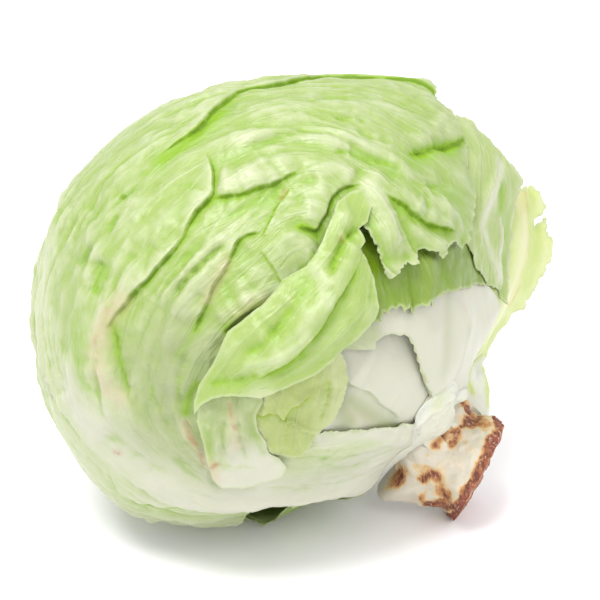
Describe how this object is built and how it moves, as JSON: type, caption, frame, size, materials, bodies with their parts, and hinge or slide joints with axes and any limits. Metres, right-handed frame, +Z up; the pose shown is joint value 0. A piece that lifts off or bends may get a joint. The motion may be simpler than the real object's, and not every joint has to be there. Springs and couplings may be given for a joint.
{
  "type": "iceberg lettuce head",
  "caption": "Round leafy head lying on its side: crinkled green leaves wrapped over one another, torn frilled rims, white ribs and a short cut stem.",
  "frame": {"origin": "middle of the small flat under the head on which it rests", "axes": "+Z up; +X level, towards the side the cut stem points to; -Y level, towards the side seen in the picture"},
  "size_m": [0.1789, 0.1732, 0.1629],
  "materials": {
    "green_leaf": "fresh green leaf, satin, veined",
    "pale_leaf": "pale yellow-green leaf, satin, veined",
    "dark_leaf": "deep green leaf, satin, veined",
    "white_rib": "creamy white leaf foot and rib, satin",
    "stem": "white stem with browned leaf scars and a red-brown cut face"
  },
  "bodies": {
    "root": {"stem": "stem", "heart": "pale_leaf", "lower_back_leaf": "green_leaf", "upper_back_leaf": "green_leaf", "under_leaf": "dark_leaf", "far_leaf": "pale_leaf", "inner_leaf": "white_rib", "rib_leaf": "white_rib", "margin_leaf": "dark_leaf", "side_leaf": "green_leaf", "wrapper_leaf": "green_leaf", "frilly_leaf": "pale_leaf", "torn_lobe": "pale_leaf", "folded_lobe": "green_leaf"}
  },
  "joints": []
}
